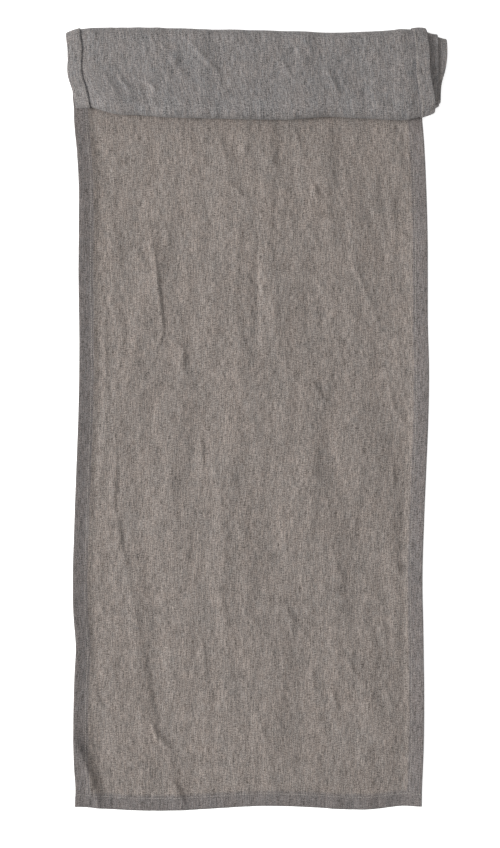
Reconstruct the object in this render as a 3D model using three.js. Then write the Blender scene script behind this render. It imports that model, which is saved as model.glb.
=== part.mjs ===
// A hemmed linen table runner, laid out flat with its far end wound into a loose, flattened roll.
//
// Units are millimetres, +Z is up and +Y runs along the cloth from its near end to the roll.
// The cloth is drawn in its own flat coordinates and then laid in space by one function, place():
//   across  distance in from the left or right edge of the cloth
//   s       distance along the cloth from its near end
//   h       height above the lowest ply, measured towards the inside of the roll
// Every piece (cloth, turned hems, sewing threads) is a section in (across, h) or (s, h) that is
// swept along the lay, so all of them follow the same flat run, folds and winding.

import * as THREE from "three";

// ---------------------------------------------------------------- driving dimensions

const CLOTH_WIDTH = 400; // finished width, edge to edge
const CLOTH_LENGTH = 1500; // finished length, end to end
const PLY = 0.5; // thickness of one ply of washed linen
const PLY_GAP = 0.1; // air between plies that lie on each other
const JOIN_GAP = 0.3; // clearance where one stretch of cloth meets the next

const HEM_WIDTH = 16; // depth of the double-turned hem
const TUCK_WIDTH = 10; // raw edge turned in inside the hem
const HEM_RAMP = 3; // cloth's slope down from the hem to the table
const STITCH_INSET = 2; // seam's distance from the hem's inner fold
const THREAD = 0.3; // sewing thread, across
const THREAD_GAP = 0.06; // air between a thread and the ply it lies on

const CRINKLE_TAKE_UP = 0.976; // laid width over finished width, as the cloth is crinkled
const SIDE_DRIFT = 6; // the laid cloth wanders to the right by this much
const DRIFT_START = 0.3; // where that bow starts, as a share of the laid length

const FOLDS = 7; // folds in the roll: it is wound three and a half turns
const LAST_RUN = 40; // cloth left after the last fold
const EYE_RADIUS = 2.7; // the innermost fold
const ROLL_DEPTH = 95.5; // the roll, measured along the cloth
const LOOSENESS = 0.5; // air between one layer of the roll and the next
const ROLL_OFFSET = -3.4; // sideways step of the cloth where it goes into the roll
const TELESCOPE = 30; // how far the inner turns slide out to the right
const TELESCOPE_TURNS = 1.4; // turns over which most of that slide happens

const ARC_STEP = Math.PI / 8; // one facet of a large fold
const SMALL_ARC_STEP = Math.PI / 6; // one facet of a small fold
const SMALL_RADIUS = 7;
const LAID_STEPS = 12; // facets along the laid length

// ---------------------------------------------------------------- sizes that follow

const HEM_HEIGHT = 2 * PLY + PLY_GAP; // outer ply, and the tuck on it
const LIFT = HEM_HEIGHT + PLY_GAP; // the cloth's height over a hem
const STACK = LIFT + PLY + THREAD_GAP + THREAD; // hem, cloth and needle thread
const PITCH = STACK + LOOSENESS; // from one layer of the roll to the next
const SEAM = HEM_WIDTH - STITCH_INSET; // seam's distance from the cloth's edge

const FAR_FOLDS = Math.ceil(FOLDS / 2);
const ROLL_RADIUS = EYE_RADIUS + (FAR_FOLDS - 1) * PITCH; // the outermost fold
const ROLL_RUN = ROLL_DEPTH - 2 * ROLL_RADIUS + PITCH / 2; // flat run between two folds

// Folds alternate between the far and the near side, and each is half a pitch tighter.
const foldRadius = (k) => ROLL_RADIUS - (k * PITCH) / 2;

let woundLength = LAST_RUN;
for (let k = 0; k < FOLDS; k++) {
  woundLength += Math.PI * foldRadius(k) + (k < FOLDS - 1 ? ROLL_RUN : 0);
}
const LAID_LENGTH = CLOTH_LENGTH - woundLength; // near end to the first fold
const OPEN_LENGTH = LAID_LENGTH - ROLL_RUN; // near end to where the roll starts to cover it
const FIRST_FOLD_END = LAID_LENGTH + Math.PI * ROLL_RADIUS;
const TURN_LENGTH = 2 * (ROLL_RUN + Math.PI * foldRadius(FOLDS / 2)); // a middling turn

// ---------------------------------------------------------------- the lay of the cloth

// The lowest ply's line in the (y, z) plane: its point at s, and the direction in which h grows.
function layLine(s) {
  if (s <= LAID_LENGTH) return { y: s, z: 0, ny: 0, nz: 1 };
  let left = s - LAID_LENGTH;
  for (let k = 0; k < FOLDS; k++) {
    const far = k % 2 === 0;
    const side = far ? 1 : -1;
    const radius = foldRadius(k);
    const y0 = far ? LAID_LENGTH : LAID_LENGTH - ROLL_RUN;
    const z0 = far ? ROLL_RADIUS : ROLL_RADIUS + PITCH / 2;
    const arc = Math.PI * radius;
    if (left <= arc || k === FOLDS - 1) {
      const angle = Math.min(left / radius, Math.PI);
      const over = Math.max(left - arc, 0);
      const sin = Math.sin(angle);
      const cos = Math.cos(angle);
      return {
        y: y0 + side * (radius * sin - over),
        z: z0 - side * radius * cos,
        ny: -side * sin,
        nz: side * cos,
      };
    }
    left -= arc;
    if (left <= ROLL_RUN) {
      return { y: y0 - side * left, z: z0 + side * radius, ny: 0, nz: -side };
    }
    left -= ROLL_RUN;
  }
}

// The cloth's middle line wanders sideways on the table, and slides outwards turn by turn in the roll.
function middle(s) {
  const share = Math.min(s / OPEN_LENGTH, 1);
  const bow = Math.max((share - DRIFT_START) / (1 - DRIFT_START), 0);
  const drift = (SIDE_DRIFT * (1 - Math.cos(2 * Math.PI * bow))) / 2;
  const turns = Math.max(s - FIRST_FOLD_END, 0) / TURN_LENGTH;
  const slide = TELESCOPE * (1 - Math.exp(-turns / TELESCOPE_TURNS));
  return drift + ROLL_OFFSET * coveredShare(s) + slide;
}

// 0 on the open cloth, 1 where the winding starts.
function coveredShare(s) {
  return THREE.MathUtils.clamp((s - OPEN_LENGTH) / (LAID_LENGTH - OPEN_LENGTH), 0, 1);
}

// Crinkles draw the open cloth in, and the roll holds it out at its full width.
function widthAt(s) {
  return CLOTH_WIDTH * THREE.MathUtils.lerp(CRINKLE_TAKE_UP, 1, coveredShare(s));
}

// A point of the cloth: across is measured in from the left edge (side -1) or the right one (side 1).
function place(side, across, s, h) {
  const line = layLine(s);
  const half = widthAt(s) / 2;
  return new THREE.Vector3(
    middle(s) + side * (half - across),
    line.y + h * line.ny,
    line.z + h * line.nz,
  );
}

// Where the sweep needs a ring: the ends, the hems' slopes, the open cloth's bow, and every facet of a fold.
function stationsOf(from, to) {
  const marks = [
    HEM_WIDTH,
    HEM_WIDTH + HEM_RAMP,
    OPEN_LENGTH,
    LAID_LENGTH,
    CLOTH_LENGTH - HEM_WIDTH - HEM_RAMP,
    CLOTH_LENGTH - HEM_WIDTH,
  ];
  for (let i = 1; i < LAID_STEPS; i++) {
    marks.push(HEM_WIDTH + HEM_RAMP + ((OPEN_LENGTH - HEM_WIDTH - HEM_RAMP) * i) / LAID_STEPS);
  }
  let s = LAID_LENGTH;
  for (let k = 0; k < FOLDS; k++) {
    const radius = foldRadius(k);
    const facets = Math.round(Math.PI / (radius < SMALL_RADIUS ? SMALL_ARC_STEP : ARC_STEP));
    for (let i = 0; i <= facets; i++) marks.push(s + (Math.PI * radius * i) / facets);
    s += Math.PI * radius + ROLL_RUN;
  }
  const stations = [from];
  for (const mark of marks.sort((a, b) => a - b)) {
    if (mark > stations.at(-1) + PLY && mark < to - PLY) stations.push(mark);
  }
  return [...stations, to];
}

// ---------------------------------------------------------------- solids

// A closed solid through rings of points, each ring the same polygon; outline is that polygon, flat.
function sweep(rings, outline) {
  const count = outline.length;
  const positions = rings.flat().flatMap((p) => [p.x, p.y, p.z]);
  const faces = [];
  for (let r = 0; r + 1 < rings.length; r++) {
    for (let i = 0; i < count; i++) {
      const a = r * count + i;
      const b = r * count + ((i + 1) % count);
      faces.push([a, b, b + count], [a, b + count, a + count]);
    }
  }
  const last = (rings.length - 1) * count;
  const clockwise = THREE.ShapeUtils.isClockWise(outline);
  for (const triangle of THREE.ShapeUtils.triangulateShape(outline, [])) {
    const [a, b, c] = clockwise ? triangle.reverse() : triangle;
    faces.push([a, c, b], [last + a, last + b, last + c]);
  }
  const geometry = new THREE.BufferGeometry();
  geometry.setAttribute("position", new THREE.Float32BufferAttribute(positions, 3));
  if (volumeOf(positions, faces) < 0) faces.forEach((face) => face.reverse());
  geometry.setIndex(faces.flat());
  geometry.computeVertexNormals();
  return geometry;
}

function volumeOf(positions, faces) {
  const [p, q, r] = [new THREE.Vector3(), new THREE.Vector3(), new THREE.Vector3()];
  let six = 0;
  for (const [a, b, c] of faces) {
    p.fromArray(positions, 3 * a);
    q.fromArray(positions, 3 * b);
    r.fromArray(positions, 3 * c);
    six += p.dot(q.cross(r));
  }
  return six / 6;
}

// A strip that runs along the cloth: section is a list of [across, h], from one edge.
function alongCloth(side, section, from, to) {
  const rings = stationsOf(from, to).map((s) => section.map(([across, h]) => place(side, across, s, h)));
  return sweep(rings, section.map(([across, h]) => new THREE.Vector2(across, h)));
}

// A strip that runs across the cloth, from edge to edge: section is a list of [s, h].
function acrossCloth(section, margin) {
  const ring = (side) => section.map(([s, h]) => place(side, margin, s, h));
  return sweep([ring(-1), ring(1)], section.map(([s, h]) => new THREE.Vector2(s, h)));
}

// The cloth's lift over the hems: full on a hem, none on the open cloth, sloping between.
function liftAt(across, s) {
  const fromEnd = Math.min(s, CLOTH_LENGTH - s);
  const slope = (distance) =>
    THREE.MathUtils.clamp((HEM_WIDTH + HEM_RAMP - distance) / HEM_RAMP, 0, 1);
  return LIFT * Math.max(slope(across), slope(fromEnd));
}

// The cloth in section at s, as [side, across, h]: one ply, with a joggle up over each hem.
function clothSection(s) {
  const breaks = [0, HEM_WIDTH, HEM_WIDTH + HEM_RAMP];
  const row = (side) => breaks.map((across) => [side, across, liftAt(across, s)]);
  const lower = [...row(-1), ...row(1).reverse()];
  const upper = lower.map(([side, across, h]) => [side, across, h + PLY]).reverse();
  return [...lower, ...upper];
}

// One stretch of the cloth itself. The ends are cut like the section away from the end hems, because
// triangles that fit its joggles fit the flat section on an end hem too.
function clothStretch(from, to) {
  const ring = (s) => clothSection(s).map(([side, across, h]) => place(side, across, s, h));
  const outline = clothSection(CLOTH_LENGTH / 2).map(
    ([side, across, h]) => new THREE.Vector2(side * (CLOTH_WIDTH / 2 - across), h),
  );
  return sweep(stationsOf(from, to).map(ring), outline);
}

// The double-turned hem under the cloth, in section: the outer ply, folded back over its tuck,
// with the furrow that the bobbin thread's tension draws in its lower face.
function hemSection() {
  const furrow = THREAD / 2 + THREAD_GAP;
  const furrowTop = THREAD + THREAD_GAP;
  return [
    [0, 0],
    [SEAM - furrow, 0],
    [SEAM - furrow, furrowTop],
    [SEAM + furrow, furrowTop],
    [SEAM + furrow, 0],
    [HEM_WIDTH, 0],
    [HEM_WIDTH, HEM_HEIGHT],
    [HEM_WIDTH - TUCK_WIDTH, HEM_HEIGHT],
    [HEM_WIDTH - TUCK_WIDTH, PLY + PLY_GAP],
    [HEM_WIDTH - PLY, PLY + PLY_GAP],
    [HEM_WIDTH - PLY, PLY],
    [0, PLY],
  ];
}

// A thread's section, with its lowest point at that height.
function threadSection(bottom) {
  const half = THREAD / 2;
  return [
    [SEAM - half, bottom],
    [SEAM + half, bottom],
    [SEAM + half, bottom + THREAD],
    [SEAM - half, bottom + THREAD],
  ];
}

const NEEDLE_THREAD = threadSection(LIFT + PLY + THREAD_GAP); // on the cloth's right side
const BOBBIN_THREAD = threadSection(0); // in the furrow on its wrong side
const fromFarEnd = (section) => section.map(([d, h]) => [CLOTH_LENGTH - d, h]);

// ---------------------------------------------------------------- materials

const linen = new THREE.MeshStandardMaterial({ color: 0x88807b, roughness: 0.95, metalness: 0 });
const thread = new THREE.MeshStandardMaterial({ color: 0x9a938d, roughness: 0.8, metalness: 0 });

// ---------------------------------------------------------------- the runner

const runner = new THREE.Group();

function add(name, geometry, material) {
  const mesh = new THREE.Mesh(geometry, material);
  mesh.name = name;
  runner.add(mesh);
}

// Each side hem stops where the end hem, which is folded over it, begins.
const sideHemStart = HEM_WIDTH + JOIN_GAP;
const sideHemEnd = CLOTH_LENGTH - sideHemStart;

const stretches = [
  { name: "laid", start: 0, end: LAID_LENGTH - JOIN_GAP / 2 },
  { name: "fold", start: LAID_LENGTH + JOIN_GAP / 2, end: FIRST_FOLD_END - JOIN_GAP / 2 },
  { name: "rolled", start: FIRST_FOLD_END + JOIN_GAP / 2, end: CLOTH_LENGTH },
];

for (const { name, start, end } of stretches) {
  add(name + "_cloth", clothStretch(start, end), linen);
  const hemStart = Math.max(start, sideHemStart);
  const hemEnd = Math.min(end, sideHemEnd);
  for (const [sideName, side] of [["left", -1], ["right", 1]]) {
    const prefix = name + "_" + sideName;
    add(prefix + "_hem", alongCloth(side, hemSection(), hemStart, hemEnd), linen);
    add(prefix + "_needle_thread", alongCloth(side, NEEDLE_THREAD, hemStart, hemEnd), thread);
    add(prefix + "_bobbin_thread", alongCloth(side, BOBBIN_THREAD, hemStart, hemEnd), thread);
  }
}

add("near_end_hem", acrossCloth(hemSection(), 0), linen);
add("near_end_needle_thread", acrossCloth(NEEDLE_THREAD, STITCH_INSET), thread);
add("near_end_bobbin_thread", acrossCloth(BOBBIN_THREAD, STITCH_INSET), thread);
add("far_end_hem", acrossCloth(fromFarEnd(hemSection()), 0), linen);
add("far_end_needle_thread", acrossCloth(fromFarEnd(NEEDLE_THREAD), STITCH_INSET), thread);
add("far_end_bobbin_thread", acrossCloth(fromFarEnd(BOBBIN_THREAD), STITCH_INSET), thread);

// The origin is the middle of the footprint, on the table.
const box = new THREE.Box3().setFromObject(runner);
const centre = box.getCenter(new THREE.Vector3());
for (const mesh of runner.children) mesh.position.set(-centre.x, -centre.y, -box.min.z);

export default runner;
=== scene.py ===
# %% [markdown]
# # A linen table runner, half rolled up
#
# The runner is one strip of washed linen, about 40 cm wide and 150 cm long. Its four edges are turned twice
# and stitched down. It lies flat with its right side up, and its far end is wound into a loose flat roll
# that shows the cloth's wrong side, the hems and their seams.
#
# Every piece here is a section of the cloth, drawn on the flat cloth and then laid in space by one function.
# A point of the cloth has three numbers, in millimetres: how far across it is from the left edge, how far
# along it is from the near end, and how high it lies in the stack of plies.

import math

import bpy
import numpy as np
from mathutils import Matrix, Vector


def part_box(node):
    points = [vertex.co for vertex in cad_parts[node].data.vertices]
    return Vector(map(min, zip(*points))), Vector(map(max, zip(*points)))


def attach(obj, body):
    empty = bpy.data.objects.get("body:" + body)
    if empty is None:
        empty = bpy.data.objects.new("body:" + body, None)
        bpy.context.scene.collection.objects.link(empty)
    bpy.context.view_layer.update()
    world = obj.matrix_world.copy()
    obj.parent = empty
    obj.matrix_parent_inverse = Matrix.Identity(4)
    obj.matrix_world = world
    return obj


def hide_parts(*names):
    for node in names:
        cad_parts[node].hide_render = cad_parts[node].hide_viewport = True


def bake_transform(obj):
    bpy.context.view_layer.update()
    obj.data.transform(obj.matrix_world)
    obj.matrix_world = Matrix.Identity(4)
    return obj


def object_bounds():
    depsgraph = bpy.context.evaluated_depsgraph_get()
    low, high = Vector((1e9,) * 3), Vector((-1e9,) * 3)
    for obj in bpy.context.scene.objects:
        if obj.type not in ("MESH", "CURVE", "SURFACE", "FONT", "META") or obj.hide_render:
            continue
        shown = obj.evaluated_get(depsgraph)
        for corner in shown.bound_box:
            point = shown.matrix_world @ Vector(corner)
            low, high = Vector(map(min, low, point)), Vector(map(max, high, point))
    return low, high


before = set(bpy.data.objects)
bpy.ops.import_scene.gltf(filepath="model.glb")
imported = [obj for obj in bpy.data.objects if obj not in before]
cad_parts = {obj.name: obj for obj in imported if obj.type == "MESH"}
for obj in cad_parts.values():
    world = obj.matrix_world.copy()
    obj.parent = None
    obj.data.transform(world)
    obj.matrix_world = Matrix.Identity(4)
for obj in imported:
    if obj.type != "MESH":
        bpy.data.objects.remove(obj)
cad_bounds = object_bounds()

# %% [markdown]
# ## Sizes
#
# The frame says where the cloth is and how large it is. What it can't say, such as the thickness of one ply
# or the air between two, is a named value here, the same as in the CAD model. Millimetres are easier to read
# than metres for cloth, so the sizes stay in millimetres until a mesh is made.

# %% Sizes from the frame and the cloth's own values
MM = 0.001

PLY = 0.5  # one ply of washed linen
PLY_GAP = 0.1  # air between plies that lie on each other
TUCK_WIDTH = 10  # raw edge turned in inside the hem
CLOTH_WIDTH = 400  # finished width, edge to edge
CLOTH_LENGTH = 1500  # finished length, end to end
PITCH = 2.56  # from one layer of the roll to the next
FOLDS = 7  # the roll is wound three and a half turns
DRIFT = 6  # the open cloth bows to the right by this much
DRIFT_START = 0.3  # where that bow starts, as a share of the open length
ROLL_OFFSET = -3.4  # sideways step of the cloth where it goes into the roll
JOIN_GAP = 0.3  # the CAD cloth is parted by this much where it moves


def box_mm(node):
    """A CAD node's lowest and highest corners, in millimetres."""
    low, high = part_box(node)
    return np.array(low) / MM, np.array(high) / MM


FOLD_Y = box_mm("laid_cloth")[1][1] + JOIN_GAP / 2
hem_low, hem_high = box_mm("near_end_hem")
NEAR_Y = hem_low[1]
HEM_WIDTH = hem_high[1] - hem_low[1]
LAID_WIDTH = hem_high[0] - hem_low[0]
MIDDLE_X = (hem_low[0] + hem_high[0]) / 2
ROLL_RADIUS = box_mm("fold_cloth")[1][2] / 2
thread_low, thread_high = box_mm("near_end_bobbin_thread")
SEAM = (thread_low[1] + thread_high[1]) / 2 - NEAR_Y
LAID_LENGTH = FOLD_Y - NEAR_Y
ROLL_RUN = FOLD_Y - box_mm("rolled_cloth")[0][1] - ROLL_RADIUS + PITCH / 2
OPEN_LENGTH = LAID_LENGTH - ROLL_RUN
HEM_HEIGHT = 2 * PLY + PLY_GAP
LIFT = HEM_HEIGHT + PLY_GAP
print(f"hem {HEM_WIDTH:.1f}, seam at {SEAM:.1f}, roll radius {ROLL_RADIUS:.2f}")
print(f"laid part {LAID_LENGTH:.1f} x {LAID_WIDTH:.1f}, open for {OPEN_LENGTH:.1f}")

# %% [markdown]
# ## Two curves that everything else uses
#
# Cloth never has a straight edge. A smooth curve through a few given points is enough for an edge that
# wanders, and smooth noise makes the swells and crinkles. A noise texture could displace the cloth as well,
# but the hems and stitches have to follow the very same relief, so the noise is worked out here. It is a grid
# of random numbers joined by cubic splines: a cell that is longer one way than the other gives the long
# crinkles that washing leaves along the warp.

# %% Curves and noise
NOISE_GRID = 64  # random numbers each way, after which the noise repeats
NOISE_START = 500  # the cloth starts this many cells into it, so that no cell is negative
NOISE_GAIN = 2.2  # the splines average the numbers, and this brings their peaks back to about 1


def curve_through(points, x):
    """A smooth curve through (x, y) points, level beyond both ends."""
    px, py = np.array(points, float).T
    slope = np.gradient(py, px)
    slope[0] = slope[-1] = 0
    x = np.clip(np.asarray(x, float), px[0], px[-1])
    i = np.clip(np.searchsorted(px, x, side="right") - 1, 0, len(px) - 2)
    gap = px[i + 1] - px[i]
    t = (x - px[i]) / gap
    start = py[i] * (1 + 2 * t) * (1 - t) ** 2 + slope[i] * gap * t * (1 - t) ** 2
    end = py[i + 1] * t * t * (3 - 2 * t) - slope[i + 1] * gap * t * t * (1 - t)
    return start + end


def smooth_step(x, low, high):
    """0 below low, 1 above high, and smooth between."""
    t = np.clip((np.asarray(x, float) - low) / (high - low), 0, 1)
    return t * t * (3 - 2 * t)


def spline_weights(t):
    """The shares of four neighbouring numbers, at t of the way from the second to the third."""
    return (
        (1 - t) ** 3 / 6,
        (3 * t**3 - 6 * t**2 + 4) / 6,
        (-3 * t**3 + 3 * t**2 + 3 * t + 1) / 6,
        t**3 / 6,
    )


def noise(x, y, cell_x, cell_y, seed, lean=0.0):
    """Smooth noise of about -1 to 1, with cells of that size in mm, leaning sideways by lean mm per mm."""
    grid = np.random.default_rng(seed).uniform(-1, 1, (NOISE_GRID, NOISE_GRID))
    a = (x + lean * y) / cell_x + NOISE_START
    b = y / cell_y + NOISE_START
    i, j = np.floor(a).astype(int), np.floor(b).astype(int)
    total = 0
    for di, wi in enumerate(spline_weights(a - i)):
        for dj, wj in enumerate(spline_weights(b - j)):
            total = total + wi * wj * grid[(i + di) % NOISE_GRID, (j + dj) % NOISE_GRID]
    return total * NOISE_GAIN


tried = noise(np.arange(400.0), np.arange(400.0), 9, 60, 1)
print(f"noise spans {tried.min():.2f} to {tried.max():.2f}")

# %% [markdown]
# ## The lay of the cloth
#
# Seen from the side, the cloth is flat up to the fold, goes round seven half turns that get tighter, and
# ends inside the roll. A curve object could be that line, but a formula gives the exact place of any point of
# the cloth, which the hems and stitches need too. The line is that of the lowest ply, and the height in the
# stack is measured from it towards the inside of the roll, which is the cloth's right side.

# %% The line of the cloth, from the side
def fold_radius(k):
    """The radius of half turn number k, where 0 is the outermost."""
    return ROLL_RADIUS - k * PITCH / 2


def lay_line(s):
    """The (y, z) of the lowest ply and the way up its stack (ny, nz), at distances s along the cloth."""
    s = np.asarray(s, float)
    y, z = FOLD_Y - LAID_LENGTH + s, np.zeros_like(s)
    ny, nz = np.zeros_like(s), np.ones_like(s)
    left = s - LAID_LENGTH
    for k in range(FOLDS):
        side = 1 if k % 2 == 0 else -1
        radius = fold_radius(k)
        y0 = FOLD_Y - (0 if side > 0 else ROLL_RUN)
        z0 = ROLL_RADIUS + (0 if side > 0 else PITCH / 2)
        arc = math.pi * radius
        run = ROLL_RUN if k < FOLDS - 1 else np.inf
        here = (left > 0) & (left <= arc + run)
        angle = np.clip(left / radius, 0, math.pi)
        over = np.maximum(left - arc, 0)
        y = np.where(here, y0 + side * (radius * np.sin(angle) - over), y)
        z = np.where(here, z0 - side * radius * np.cos(angle), z)
        ny = np.where(here, -side * np.sin(angle), ny)
        nz = np.where(here, side * np.cos(angle), nz)
        left = left - arc - run
    return y, z, ny, nz


FIRST_FOLD_END = LAID_LENGTH + math.pi * ROLL_RADIUS
SECOND_FOLD = FIRST_FOLD_END + ROLL_RUN
SECOND_FOLD_END = SECOND_FOLD + math.pi * fold_radius(1)
TURN_LENGTH = 2 * (ROLL_RUN + math.pi * fold_radius(FOLDS / 2))
print(f"folds start at {LAID_LENGTH:.1f} and {SECOND_FOLD:.1f} mm along the cloth")

# %% [markdown]
# ## The edges
#
# Washed linen is drawn in unevenly, so its sides wander by a few millimetres, and in the roll the turns have
# slid out to the right, which shows as a stair of hems at its right end. Random noise could make the edges
# wander, but people see an outline first, so it is worth setting one by one: a few points in round numbers, with
# a smooth curve through them.
#
# The side edges are (millimetres along the cloth, millimetres to the right). The slide is (turns of the roll
# from its first fold, millimetres to the right). The other three are (x, millimetres towards the far end).

# %% Side edges, near edge and the roll's outline
LEFT_WANDER = [
    (0, 1.5), (20, 2), (45, 0.5), (150, 0.5), (180, 2), (215, -0.5), (320, -1), (420, -0.5), (530, 0),
    (600, 0.5), (650, 2.5), (695, 4), (740, 2.5), (775, -0.5), (795, -0.5), (810, -0.5), (815, -2),
    (840, -1.5), (860, 0), (895, -1.5), (915, -2), (945, -4), (960, -2.5), (970, -1), (985, 0),
]
RIGHT_WANDER = [
    (0, -1.5), (10, -1.5), (35, -0.5), (60, 0.5), (200, 0.5), (250, -0.5), (320, 0), (500, 0.5),
    (540, -0.5), (590, 0.5), (640, 2), (680, 2.5), (740, 1.5), (775, -0.5), (850, 0),
]
SLIDE = [
    (-0.15, 0), (0, 2.5), (0.05, 4), (0.2, 5.5), (0.3, 8), (0.4, 10.5), (0.6, 12), (1, 14), (1.2, 15),
    (1.4, 14.5), (1.6, 17), (2, 23.5), (2.15, 25), (2.25, 23.5), (2.4, 18.5), (2.7, 19), (3.3, 21),
]
NEAR_EDGE = [
    (-200, 3), (-180, 1), (-155, -1), (-75, -1.5), (-35, 1), (0, 3), (25, 3), (70, 1), (90, -0.5),
    (130, -0.5), (160, 3), (185, 3),
]
ROLL_FAR_EDGE = [
    (-215, -3.5), (-205, -0.5), (-195, 1.5), (-190, 1.5), (-120, 1.5), (-70, -0.5), (-30, -1), (45, -2.5),
    (85, -4), (105, -3.5), (150, -1), (170, 1), (185, 1.5), (195, -2), (200, -2.5), (210, -5),
]
ROLL_NEAR_EDGE = [
    (-205, 8.5), (-190, 9.5), (-175, 7.5), (-160, 4), (-125, 1), (-90, -0.5), (-55, -1.5), (35, -2.5),
    (80, 0.5), (110, -1.5), (135, -3), (185, -0.5), (195, 3), (205, 8),
]
NEAR_EDGE_FADE = 96  # the near edge's shape dies out over this much cloth


def covered_share(s):
    """0 on the open cloth, 1 at the fold, and between them under the roll."""
    return np.clip((s - OPEN_LENGTH) / ROLL_RUN, 0, 1)


def middle_x(s):
    """The x of the cloth's middle line."""
    bow = np.clip((s / OPEN_LENGTH - DRIFT_START) / (1 - DRIFT_START), 0, 1)
    drift = DRIFT * (1 - np.cos(2 * math.pi * bow)) / 2
    slide = curve_through(SLIDE, (s - FIRST_FOLD_END) / TURN_LENGTH)
    return MIDDLE_X + drift + ROLL_OFFSET * covered_share(s) + slide


def across_x(u, s):
    """The x of a point u mm from the left edge of the flat cloth."""
    width = LAID_WIDTH + (CLOTH_WIDTH - LAID_WIDTH) * covered_share(s)
    share = u / CLOTH_WIDTH
    wander = curve_through(LEFT_WANDER, s) * (1 - share) + curve_through(RIGHT_WANDER, s) * share
    return middle_x(s) + (share - 0.5) * width + wander


def settle_y(x, y, s):
    """How far the cloth's folds and its near edge stray along the runner."""
    from_hem = smooth_step(s, HEM_WIDTH / 2, HEM_WIDTH / 2 + NEAR_EDGE_FADE)
    near_end = curve_through(NEAR_EDGE, x) * (1 - from_hem)
    in_roll = smooth_step(s, LAID_LENGTH, FIRST_FOLD_END)
    to_near = smooth_step(FOLD_Y - y, 0, ROLL_RUN)
    under_roll = smooth_step(s, OPEN_LENGTH, LAID_LENGTH)
    far = curve_through(ROLL_FAR_EDGE, x) * np.where(s > LAID_LENGTH, 1 - to_near, under_roll)
    near = curve_through(ROLL_NEAR_EDGE, x) * in_roll * to_near
    return near_end + far + near


for side, wander in (("left", LEFT_WANDER), ("right", RIGHT_WANDER)):
    print(f"the {side} edge wanders by {min(w for _, w in wander)} to {max(w for _, w in wander)} mm")

# %% [markdown]
# ## Crinkles and creases
#
# Linen creases in the wash because its yarns swell and don't recover. A cloth simulation gives folds and
# drapes but not these washed-in creases, so they are listed, in round millimetres. Each one is a line on
# the flat cloth, its height, and how far it falls away to its left and to its right. A steep flank on one
# side and a gentle one on the other show as a thin dark or light line under light from the left. A negative
# height is a furrow.

# %% Creases of the open cloth and of the roll's face
CREASES = [  # points (across, along), height, fall to the left, fall to the right
    ([(85, 640), (90, 600), (95, 550), (95, 530)], 1.9, 13, 1.8),
    ([(80, 530), (90, 520), (95, 530)], 1.0, 3, 3),
    ([(65, 630), (75, 610)], 0.9, 5, 2.6),
    ([(100, 650), (105, 625)], 1.2, 6, 2.2),
    ([(120, 515), (120, 490)], 1.3, 7, 2.2),
    ([(100, 485), (85, 450), (85, 425)], -1.2, 6, 6),
    ([(165, 750), (175, 720)], 1.0, 5, 2.6),
    ([(170, 705), (195, 680), (200, 670)], 1.2, 6, 2.2),
    ([(205, 670), (220, 650), (230, 640)], 0.9, 3, 3),
    ([(205, 675), (205, 525)], -1.3, 7, 3.5),
    ([(250, 770), (260, 730), (270, 710)], 1.0, 3, 3),
    ([(270, 700), (275, 685)], 1.8, 7, 2.2),
    ([(280, 680), (290, 660)], 0.9, 3, 4),
    ([(250, 615), (265, 600), (290, 575)], 1.0, 4, 2.6),
    ([(315, 610), (330, 575), (345, 540)], 1.3, 2.1, 4),
    ([(280, 540), (295, 555)], 1.0, 2.6, 3),
    ([(310, 555), (335, 535)], 1.0, 3, 3),
    ([(265, 480), (280, 460), (285, 450)], 1.4, 7, 2.4),
    ([(355, 475), (360, 450), (375, 430)], 1.1, 3, 3),
    ([(30, 555), (30, 500), (35, 450)], 0.9, 6, 2.8),
    ([(140, 420), (145, 380)], 1.2, 3, 2.4),
    ([(365, 775), (380, 765), (390, 750)], 1.4, 2.8, 3.2),
    ([(305, 665), (310, 610)], -1.4, 7, 6),
    ([(45, 405), (45, 340), (50, 320), (55, 295), (65, 260)], 1.6, 12, 2.2),
    ([(60, 280), (45, 255)], 1.0, 2.6, 4),
    ([(45, 255), (65, 245), (75, 230)], 1.3, 6, 2.4),
    ([(70, 220), (75, 205)], 1.3, 6, 2.4),
    ([(85, 180), (90, 150), (95, 105)], -2.6, 4.5, 12),
    ([(90, 95), (95, 80), (115, 65)], 1.4, 2.2, 3),
    ([(95, 95), (105, 80), (120, 70)], -1.2, 5, 12),
    ([(115, 75), (140, 55)], 1.2, 3, 2.6),
    ([(110, 35), (120, 20), (130, 0)], 1.7, 9, 2.6),
    ([(310, 170), (325, 145)], 1.3, 2.6, 3.2),
    ([(295, 135), (300, 115)], 1.1, 5, 2.4),
    ([(325, 70), (330, 55), (345, 45)], 1.2, 3, 9),
    ([(240, 230), (250, 210), (250, 195)], 1.2, 5, 2.4),
    ([(250, 210), (270, 185)], 1.0, 2.8, 4),
    ([(240, 315), (245, 275)], 1.1, 5, 2.6),
    ([(155, 380), (170, 375), (195, 360)], 0.9, 2.8, 4),
    ([(145, 195), (150, 150)], 1.2, 6, 2.6),
    ([(350, 210), (360, 185)], 1.1, 3, 2.8),
    ([(340, 235), (370, 220)], 1.0, 2.8, 4),
    ([(365, 280), (380, 255)], 1.2, 3, 2.8),
    ([(360, 390), (365, 360)], 1.0, 3, 2.6),
    ([(25, 145), (25, 125), (45, 100)], 1.2, 5, 2.6),
    ([(35, 60), (30, 45), (45, 35)], 1.0, 6, 2.6),
    ([(0, 80), (10, 60), (15, 45), (20, 30), (25, 10), (30, -5)], 3.4, 15, 6.5),
    ([(-5, 75), (20, 75)], 1.1, 8, 3),
]
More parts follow.
